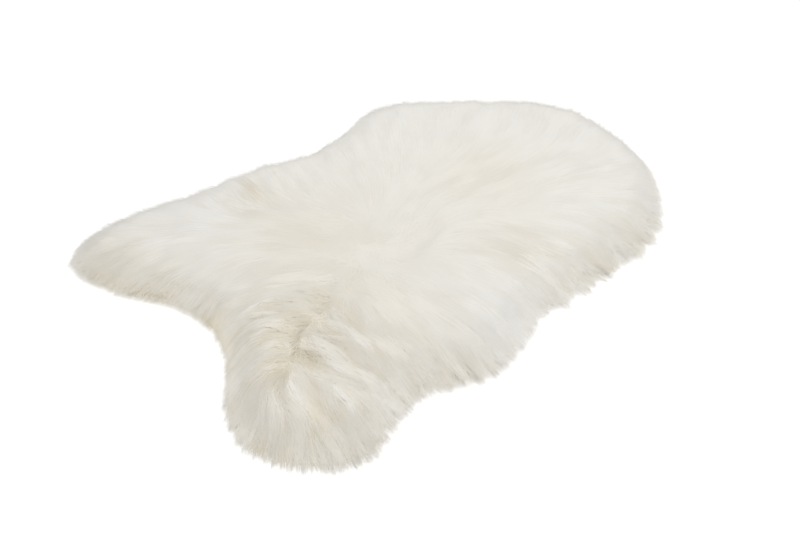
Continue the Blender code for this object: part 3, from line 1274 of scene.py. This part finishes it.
@dataclass
class RimWool(Pile):
    """The wool that leaves the fleece's side and lies on the floor in small locks round the rim.

    A pair of numbers is for a short rim and for a shaggy one, or the ends of a random range.
    """

    count: int = 12000
    width: float = 0.95 * MM
    width_spread: Pair = (0.7, 1.2)
    stations: int = 4
    fine_share: float = 0.85
    deepest: float = 24 * MM
    inset_power: float = 1.4
    lock_pitch: float = 13 * MM
    layers: int = 2
    lock_turn: float = 0.14
    fibre_turn: float = 0.09
    lock_reach: float = 0.15
    gather: float = 0.35
    gathering: Pair = (0.4, 1.0)
    gather_power: float = 1.5
    lock_rise: float = 3 * MM
    start_drop: float = 4 * MM
    start_share: Pair = (0.08, 0.95)
    bulge: float = 2.0 * MM
    fall_power: float = 1.2
    floor_gap: float = 0.9 * MM
    # Painted light: the rim's fibres are toned lighter than the fleece's to lift the shade along the rim.
    tone: float = 0.95
    lock_tone: float = 0.12
    tone_spread: float = 0.05
    cream_share: float = 0.6
    comb_lean: float = 0.8
    wave: float = 1.1 * MM
    unevenness: Pair = (0.3, 1.0)
    reach: Pair = (0.45, 1.2)
    reach_power: float = 1.5
    flatness: float = 0.75
    upward: float = 0.9
    seed: int = 8

    def lines(self, rng: Rng) -> tuple[Array, Array]:
        """Lay the rim's fibres.

        Args:
            rng: The source of their unevenness.

        Returns:
            Lines in space, as an array of fibre, station and axis, and each fibre's tone.
        """
        outline = self.wool.outline
        lengths = np.sort(rng.uniform(0, outline.around, self.count))
        layer = rng.integers(0, self.layers, self.count)
        place = lengths / self.lock_pitch + layer / self.layers
        lock = self.layers * place.astype(int) + layer
        aside = (place - place.astype(int) - 0.5) * self.lock_pitch
        traits = rng.uniform(-1, 1, (lock.max() + 1, 4))[lock]
        rows, normal = outline.at(lengths), outline.normal(lengths)
        inset = rng.uniform(0, 1, self.count) ** self.inset_power * self.deepest
        roots, tangent = outline.inside(lengths, inset), leftward(normal)
        turn = self.clumps.turn(lengths) + traits[:, 0] * self.lock_turn
        turn += rng.normal(0, self.fibre_turn, self.count)
        leave = normal + tangent * turn[:, None]
        arrive = leave + (self.wool.lie(rows[:, :2]) - leave) * self.comb_lean
        shaggy = self.clumps.shaggy(lengths)
        uneven = between(self.unevenness, shaggy)
        reach = rows[:, 2] * self.clumps.reach_share(lengths) * (1 + self.lock_reach * traits[:, 1] * uneven)
        reach *= between(self.reach, rng.uniform(0, 1, self.count) ** self.reach_power)
        share = np.linspace(0, 1, self.stations)
        bend = leave[:, None] * share[:, None] + (arrive - leave)[:, None] * share[:, None] ** 2 / 2
        level = roots[:, None] + (inset + reach)[:, None, None] * bend
        gather = aside * (self.gather * between(self.gathering, shaggy))
        sideways = swing(share, math.pi * traits[:, 1:2]) * self.wave * uneven[:, None]
        sideways -= gather[:, None] * share**self.gather_power
        level = level + tangent[:, None] * sideways[..., None]
        start = self.wool.read("height", roots) - self.start_drop
        start *= rng.uniform(*self.start_share, self.count)
        bulge = rng.uniform(0.0, self.bulge, self.count) + (1 + traits[:, 2]) / 2 * self.lock_rise
        height = start[:, None] * (1 - share) ** self.fall_power + bulge[:, None] * 4 * share * (1 - share)
        spread = rng.uniform(-self.tone_spread, self.tone_spread, self.count)
        return raised_to(level, height + self.floor_gap), self.tone + self.lock_tone * traits[:, 3] + spread

    def build(self, finish: UndyedWool) -> list[Piece]:
        """Build the rim's wool, a piece for each kind of fibre.

        Args:
            finish: The wool's finish.

        Returns:
            The new pieces.
        """
        rng = np.random.default_rng(self.seed)
        lines, tones = self.lines(rng)
        roots = lines[:, 0, :2]
        widths = self.width * rng.uniform(*self.width_spread, len(lines))
        creams = self.wool.read("cream", roots) * self.cream_share
        flatness, upward = (np.full(len(lines), share) for share in (self.flatness, self.upward))
        starts, facing = self.wool.starts(roots), self.wool.facing(lines)
        traits = (lines, widths, tones, creams, starts, facing, flatness, upward)
        fine = rng.uniform(0, 1, len(lines)) < self.fine_share
        pieces = []
        for kind in Fibre:
            mine = fine == (kind is Fibre.FINE)
            strands = StrandMesh(*(values[mine] for values in traits))
            pieces.append(strands.build(kind.value + "_rim_wool", finish, kind))
        return pieces


@dataclass(frozen=True)
class HairKind:
    """One kind of stray hair: where its roots are, and the random ranges of its shares.

    Hairs with no pitch grow in the band along the rim only, and hairs with no spring follow the fleece.
    """

    name: str
    pitch: float | None
    count: int
    band: Pair
    length: float
    lengths: Pair
    past: Pair
    stray: float
    stations: int
    lift: float
    lifting: Pair
    lift_power: float
    spring: Pair | None
    width: float


GUARD_HAIRS = HairKind(
    name="guard_hairs",
    pitch=16 * MM,
    count=2600,
    band=(4 * MM, 34 * MM),
    length=70 * MM,
    lengths=(0.6, 1.15),
    past=(0.7, 1.7),
    stray=0.32,
    stations=4,
    lift=5 * MM,
    lifting=(0.2, 1.0),
    lift_power=2.0,
    spring=None,
    width=0.55 * MM,
)
RIM_FUZZ = HairKind(
    name="rim_fuzz",
    pitch=None,
    count=19000,
    band=(12 * MM, 52 * MM),
    length=30 * MM,
    lengths=(0.5, 1.15),
    past=(0.7, 1.3),
    stray=0.5,
    stations=2,
    lift=8 * MM,
    lifting=(1.0, 1.0),
    lift_power=1.5,
    spring=(0.2, 1.0),
    width=0.95 * MM,
)


@dataclass
class GuardHairs(Pile):
    """The fine single hairs that stray from the locks, and the short fuzz that softens the fleece's edge."""

    kinds: tuple[HairKind, ...] = (GUARD_HAIRS, RIM_FUZZ)
    margin: float = 12 * MM
    lift: Pair = (0.1, 1.0)
    lift_rise: float = 0.8
    root_depth: float = 5 * MM
    floor_gap: float = 1.2 * MM
    floor_lift: float = 0.3
    width_spread: Pair = (0.6, 1.2)
    tone_spread: Pair = (-0.05, 0.1)
    cream_share: float = 0.6
    flatness: float = 0.75
    upward: float = 0.88
    seed: int = 21

    def roots(self, kind: HairKind, rng: Rng) -> Array:
        """Scatter level roots over the pelt, if the kind has a pitch, and in a band inside the outline.

        Args:
            kind: The kind of hair.
            rng: The source of their unevenness.

        Returns:
            The roots, one a row.
        """
        strewn = self.wool.scattered(kind.pitch, self.margin, rng) if kind.pitch else np.empty((0, 2))
        outline = self.wool.outline
        along = rng.uniform(0, outline.around, kind.count)
        inset = rng.uniform(*kind.band, kind.count)
        return np.concatenate([strewn, outline.inside(along, inset)])

    def lines(self, kind: HairKind, rng: Rng) -> Array:
        """Lay the hairs of one kind onto the fleece.

        A hair's lift is how far its tip stands off the fleece. Its spring is the share of the fleece's
        fall under it that it does not follow.

        Args:
            kind: The kind of hair.
            rng: The source of their unevenness.

        Returns:
            Lines in space, as an array of hair, station and axis.
        """
        roots = self.roots(kind, rng)
        count = len(roots)
        lengths = kind.length * rng.uniform(*kind.lengths, count)
        most = self.wool.read("inward", roots) + self.past(roots) * rng.uniform(*kind.past, count)
        turns = rng.normal(0, kind.stray, count)
        level = self.wool.grown(roots, np.minimum(lengths, most), turns, kind.stations)
        lift = kind.lift * between(kind.lifting, self.wool.read("shag", roots))
        lift = (lift * rng.uniform(*self.lift, count) ** kind.lift_power)[:, None]
        spring = rng.uniform(*kind.spring, count) if kind.spring else np.zeros(count)
        share = np.linspace(0, 1, kind.stations)
        base = self.wool.read("height", level)
        fall = np.maximum(base[:, :1] - base, 0.0) * spring[:, None]
        height = base + fall - self.root_depth * (1 - share) + lift * share**self.lift_rise
        return raised_to(level, np.maximum(height, self.floor_gap + self.floor_lift * lift * share))

    def build(self, finish: UndyedWool) -> list[Piece]:
        """Build the long hairs in one piece and the fuzz in another.

        Args:
            finish: The wool's finish.

        Returns:
            The new pieces.
        """
        rng = np.random.default_rng(self.seed)
        pieces = []
        for kind, lines in [(kind, self.lines(kind, rng)) for kind in self.kinds]:
            roots, count = lines[:, 0, :2], len(lines)
            widths = kind.width * rng.uniform(*self.width_spread, count)
            tones = self.wool.tone(roots) + rng.uniform(*self.tone_spread, count)
            creams = self.wool.read("cream", roots) * self.cream_share
            flatness, upward = (np.full(count, share) for share in (self.flatness, self.upward))
            starts, facing = self.wool.starts(roots), self.wool.facing(lines)
            strands = StrandMesh(lines, widths, tones, creams, starts, facing, flatness, upward)
            pieces.append(strands.build(kind.name, finish, Fibre.FINE))
        return pieces


@dataclass
class Underwool:
    """The dense short wool under the long fibres, a closed soft body over the hide."""

    wool: WoolField
    hide: Hide
    pitch: float = 4.8 * MM
    margin: float = 0.6
    rim_points: int = 620
    rim_low: float = 0.6 * MM
    rim_high: float = 8 * MM
    sink: float = 5 * MM
    sinking: Pair = (0.2, 1.0)
    hide_gap: float = 0.4 * MM
    meeting: float = 1e-7
    lump: float = 0.8 * MM
    # Painted shade: how much darker the underwool is toned where the wool is ruffled, in the gaps between its
    # locks.
    painted_shade: float = 0.25
    seed: int = 3

    def build(self, finish: UndyedWool) -> Piece:
        """Build the underwool in one piece.

        Args:
            finish: The wool's finish.

        Returns:
            The new piece.
        """
        rng = np.random.default_rng(self.seed)
        outline, count = self.wool.outline, self.rim_points
        rim = outline.at(np.arange(count) * outline.around / count)[:, :2]
        inner = self.wool.scattered(self.pitch, self.pitch * self.margin, rng)
        level = [Vector(point) for point in np.concatenate([rim, inner]).tolist()]
        _, _, faces, origins, _, _ = delaunay_2d_cdt(level, [], [list(range(count))], 1, self.meeting)
        top = np.array([[origins[i][0] for i in face] for face in faces])
        shag = self.wool.read("shag", inner)
        sink = self.sink * between(self.sinking, shag)
        height = self.wool.read("height", inner) - sink + rng.uniform(-1, 1, len(inner)) * self.lump * shag
        points = np.concatenate([
            raised_to(rim, self.rim_high),
            raised_to(inner, np.maximum(height, self.rim_high)),
            raised_to(rim, self.rim_low),
            raised_to(self.hide.edge(count), self.hide.thickness + self.hide_gap),
        ])
        here = np.arange(count)
        low, seat = count + len(inner) + here, 2 * count + len(inner) + here
        loops = (here, low, seat)
        walls = [
            np.stack([under, np.roll(under, -1), np.roll(over, -1), over], axis=1)
            for over, under in zip(loops, loops[1:])
        ]
        corners = np.concatenate([faces.reshape(-1) for faces in (top, *walls, seat[::-1])])
        totals = np.repeat((3, 4, count), (len(top), 2 * count, 1))
        mesh = mesh_from("underwool", points, corners, totals)
        flat = points[:, :2]
        # Painted shade: in the crevices the underwool takes the ramp's deep colour, darker than any root.
        deep = MIDDLE_SHARE * (1 - self.wool.read("opened", flat))
        # Painted shade: darker underwool where ruffled, in the gaps between the locks.
        tone = self.wool.tone(flat) - self.painted_shade * self.wool.read("shag", flat)
        give_fibre(mesh, np.stack([deep, tone, self.wool.read("cream", flat)], axis=1))
        return link("underwool", mesh, finish)


@dataclass
class Hide:
    """The tanned hide under the wool, cut to the animal's outline."""

    wool: WoolField
    inset: float = 28 * MM
    evening: int = 3
    thickness: float = 2.5 * MM
    edge_points: int = 240
    bevel: float = 0.5 * MM
    bevel_steps: int = 2

    def edge(self, count: int) -> Array:
        """Give level points along the hide's cut edge.

        Args:
            count: The number of points.

        Returns:
            The points, one a row.
        """
        outline = self.wool.outline
        inside = outline.inside(np.arange(count) * outline.around / count, np.full(count, self.inset))
        for _ in range(self.evening):
            inside = (np.roll(inside, 1, 0) + 2 * inside + np.roll(inside, -1, 0)) / 4
        return inside

    def area(self) -> float:
        """Work out the hide's flat area in square metres."""
        x, y = self.edge(self.edge_points).T
        return abs(float(np.sum(x * np.roll(y, -1) - np.roll(x, -1) * y))) / 2

    def size(self) -> Pair:
        """Give the hide's width and length in metres."""
        length, width = np.ptp(self.edge(self.edge_points), axis=0).tolist()
        return width, length

    def build(self, finish: SuedeHide) -> Piece:
        """Cut the hide from a disc whose edge is moved to the outline, and give it its thickness.

        Args:
            finish: The suede's finish.

        Returns:
            The new piece.
        """
        bpy.ops.object.select_all(action="DESELECT")
        bpy.ops.mesh.primitive_circle_add(vertices=self.edge_points, fill_type="NGON")
        piece = bpy.context.object
        piece.name = piece.data.name = "hide"
        for vertex, (x, y) in zip(piece.data.vertices, self.edge(self.edge_points).tolist()):
            vertex.co = (x, y, 0.0)
        bpy.ops.object.mode_set(mode="EDIT")
        bpy.ops.mesh.select_all(action="SELECT")
        bpy.ops.mesh.extrude_region_move(TRANSFORM_OT_translate={"value": (0, 0, self.thickness)})
        bpy.ops.mesh.select_all(action="SELECT")
        bpy.ops.mesh.normals_make_consistent(inside=False)
        bpy.ops.object.mode_set(mode="OBJECT")
        trim = piece.modifiers.new("cut edge", "BEVEL")
        trim.width, trim.segments, trim.limit_method = self.bevel, self.bevel_steps, "ANGLE"
        bpy.ops.object.modifier_apply(modifier=trim.name)
        piece.data.materials.append(finish.material())
        return piece


@dataclass(frozen=True)
class UndyedWool:
    """Undyed sheep's wool, washed and combed: matt, milky fibres, warmer towards their roots.

    Light that enters the fibres comes out again between them, which gives the eye a soft white mass
    with pale shadows.
    """

    name: str = "Undyed long wool"
    # The deep colour is the roots' tan darkened further by painted shade, for the bottom of the crevices.
    deep: str = "a8977a"
    root: str = "d9ccb0"
    middle: str = "fbf8f0"
    tip: str = "fdfbf6"
    grease: str = "efe5cd"
    tones: Pair = (0.88, 1.01)
    clouds: Pair = (0.98, 1.01)
    mottle: float = 90 * MM
    roughness: float = 0.85
    gloss: float = 0.2
    sheen: float = 0.1
    sheen_roughness: float = 0.5

    def material(self) -> bpy.types.Material:
        """Make the wool's material, or give it again if it is there.

        Returns:
            The material.
        """
        if self.name in bpy.data.materials:
            return bpy.data.materials[self.name]
        material, tree, shader = new_material(self.name)
        fibre = add_node(tree, "Attribute", attribute_name=FIBRE)
        parts = add_node(tree, "SeparateXYZ", {"Vector": fibre.outputs["Vector"]})
        ramp = add_node(tree, "ValToRGB", {"Fac": parts.outputs["X"]})
        ramp.color_ramp.elements[0].color = linear(self.deep)
        ramp.color_ramp.elements[1].color = linear(self.tip)
        ramp.color_ramp.elements.new(ROOT_SHARE).color = linear(self.root)
        ramp.color_ramp.elements.new(MIDDLE_SHARE).color = linear(self.middle)
        feeds = {MIX_FACTOR: parts.outputs["Z"], MIX_FIRST: ramp.outputs["Color"]}
        greasy = add_node(tree, "Mix", feeds, data_type="RGBA")
        greasy.inputs[MIX_SECOND].default_value = linear(self.grease)
        place = add_node(tree, "TexCoord").outputs["Object"]
        cloud = add_node(tree, "TexNoise", {"Vector": place}, Scale=1 / self.mottle, Detail=3.0)
        shades = []
        for source, ends in ((parts.outputs["Y"], self.tones), (cloud.outputs["Fac"], self.clouds)):
            shades.append(add_node(tree, "MapRange", {"Value": source}, To_Min=ends[0], To_Max=ends[1]))
        value = add_node(tree, "Math", {i: shades[i].outputs[0] for i in (0, 1)}, operation="MULTIPLY")
        feeds = {"Color": greasy.outputs[MIX_RESULT], "Value": value.outputs[0]}
        toned = add_node(tree, "HueSaturation", feeds)
        tree.links.new(toned.outputs["Color"], shader.inputs["Base Color"])
        set_up(shader, Roughness=self.roughness, Specular_IOR_Level=self.gloss)
        set_up(shader, Sheen_Weight=self.sheen, Sheen_Roughness=self.sheen_roughness)
        return material


@dataclass(frozen=True)
class SuedeHide:
    """Chrome-tanned sheep's hide, flesh side out: a pale suede with fine nap and faint cloudy patches."""

    name: str = "Tanned hide, suede side"
    light: str = "e9e2d2"
    dark: str = "d3c7ae"
    cloud: float = 70 * MM
    nap: float = 1.2 * MM
    nap_depth: float = 0.3 * MM
    nap_strength: float = 0.4
    roughness: float = 0.95

    def material(self) -> bpy.types.Material:
        """Make the hide's material.

        Returns:
            The material.
        """
        material, tree, shader = new_material(self.name)
        place = add_node(tree, "TexCoord").outputs["Object"]
        cloud = add_node(tree, "TexNoise", {"Vector": place}, Scale=1 / self.cloud, Detail=6.0)
        colour = add_node(tree, "Mix", {MIX_FACTOR: cloud.outputs["Fac"]}, data_type="RGBA")
        for socket, value in ((MIX_FIRST, self.dark), (MIX_SECOND, self.light)):
            colour.inputs[socket].default_value = linear(value)
        nap = add_node(tree, "TexNoise", {"Vector": place}, Scale=1 / self.nap, Detail=2.0)
        depth = {"Strength": self.nap_strength, "Distance": self.nap_depth}
        bump = add_node(tree, "Bump", {"Height": nap.outputs["Fac"]}, **depth)
        tree.links.new(colour.outputs[MIX_RESULT], shader.inputs["Base Color"])
        tree.links.new(bump.outputs["Normal"], shader.inputs["Normal"])
        set_up(shader, Roughness=self.roughness)
        return material


@dataclass(frozen=True)
class StudioPaper:
    """White background paper, lit until it is almost as bright as the light on it."""

    name: str = "White background paper"
    color: str = "f7f7f6"
    light: str = "ffffff"
    glow: float = 0.38

    def material(self) -> bpy.types.Material:
        """Make the paper's material.

        Returns:
            The material.
        """
        material, _, shader = new_material(self.name)
        set_up(shader, Base_Color=linear(self.color), Roughness=1.0, Specular_IOR_Level=0.0)
        set_up(shader, Emission_Color=linear(self.light), Emission_Strength=self.glow)
        return material


@dataclass
class Studio:
    """The camera, the pale floor and the soft light."""

    aim: tuple[float, float, float] = (-0.0802, -0.0566, 0.0)
    heading: float = 50.0
    elevation: float = 40.0
    distance: float = 1.688
    lens: float = 45.0
    sensor: float = 36.0
    nearest: float = 10 * MM
    floor_size: float = 14.0
    floor_drop: float = 0.4 * MM
    sky_color: str = "ffffff"
    sky: float = 0.47
    key_power: float = 34.0
    key_size: Pair = (2.4, 2.0)
    key_place: tuple[float, float, float] = (0.3, -0.12, 2.4)
    bounces: int = 16
    diffuse_bounces: int = 12

    def hold(self, data: bpy.types.ID, place: Vector, toward: Vector) -> Piece:
        """Show a camera or a lamp.

        Args:
            data: The camera or the lamp.
            place: Where it is.
            toward: The way that it looks or shines.

        Returns:
            Its object.
        """
        holder = bpy.data.objects.new(data.name, data)
        holder.location = place
        holder.rotation_mode = "QUATERNION"
        holder.rotation_quaternion = toward.to_track_quat("-Z", "Y")
        bpy.context.scene.collection.objects.link(holder)
        return holder

    def place_camera(self) -> None:
        """Put the camera where it sees the pelt from the near side of its hind end."""
        camera = bpy.data.cameras.new("camera")
        camera.lens, camera.sensor_width, camera.clip_start = self.lens, self.sensor, self.nearest
        across, up = math.radians(self.heading), math.radians(self.elevation)
        forward = Vector((math.cos(across) * math.cos(up), math.sin(across) * math.cos(up), -math.sin(up)))
        bpy.context.scene.camera = self.hold(camera, Vector(self.aim) - forward * self.distance, forward)

    def lay_floor(self, finish: StudioPaper) -> None:
        """Lay the pale floor just under the pelt.

        Args:
            finish: The paper's finish.
        """
        bpy.ops.object.select_all(action="DESELECT")
        bpy.ops.mesh.primitive_plane_add(size=self.floor_size, location=(0, 0, -self.floor_drop))
        floor = bpy.context.object
        floor.name = "floor"
        floor.data.materials.append(finish.material())

    def light(self) -> None:
        """Light the pelt evenly from all round, and by a large softbox over its neck half."""
        scene = bpy.context.scene
        world = bpy.data.worlds.new("soft white room")
        world.use_nodes = True
        set_up(world.node_tree.nodes["Background"], Color=linear(self.sky_color), Strength=self.sky)
        scene.world = world
        key = bpy.data.lights.new("softbox", "AREA")
        key.shape, key.energy = "RECTANGLE", self.key_power
        key.size, key.size_y = self.key_size
        place = Vector(self.key_place)
        self.hold(key, place, -place)
        scene.view_settings.view_transform = "Standard"
        scene.cycles.max_bounces, scene.cycles.diffuse_bounces = self.bounces, self.diffuse_bounces


def take_down(piece: Piece) -> None:
    """Make a piece ride on the frame's body and stand for its solid.

    Args:
        piece: A piece of the rug.
    """
    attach(piece, BODY)
    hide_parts(SHEEPSKIN)
    triangles = sum(face.loop_total - 2 for face in piece.data.polygons)
    LOG.info("%s: %d triangles", piece.name, triangles)


def main() -> None:
    """Build the rug piece by piece, then the studio round it."""
    logging.basicConfig(level=logging.INFO, format="%(name)s %(message)s")
    outline = PeltOutline()
    wool = WoolField(outline)
    clumps = RimClumps(outline)
    finish = UndyedWool()
    studio = Studio()
    studio.place_camera()
    hide = Hide(wool)
    leather = hide.build(SuedeHide())
    pile = [Underwool(wool, hide).build(finish)]
    for kind in (LongWool, RimWool, GuardHairs):
        pile += kind(wool, clumps).build(finish)
    for piece in [leather, *pile]:
        take_down(piece)
    hide.size()
    hide.area()
    studio.lay_floor(StudioPaper())
    studio.light()


if __name__ == "__main__":
    main()
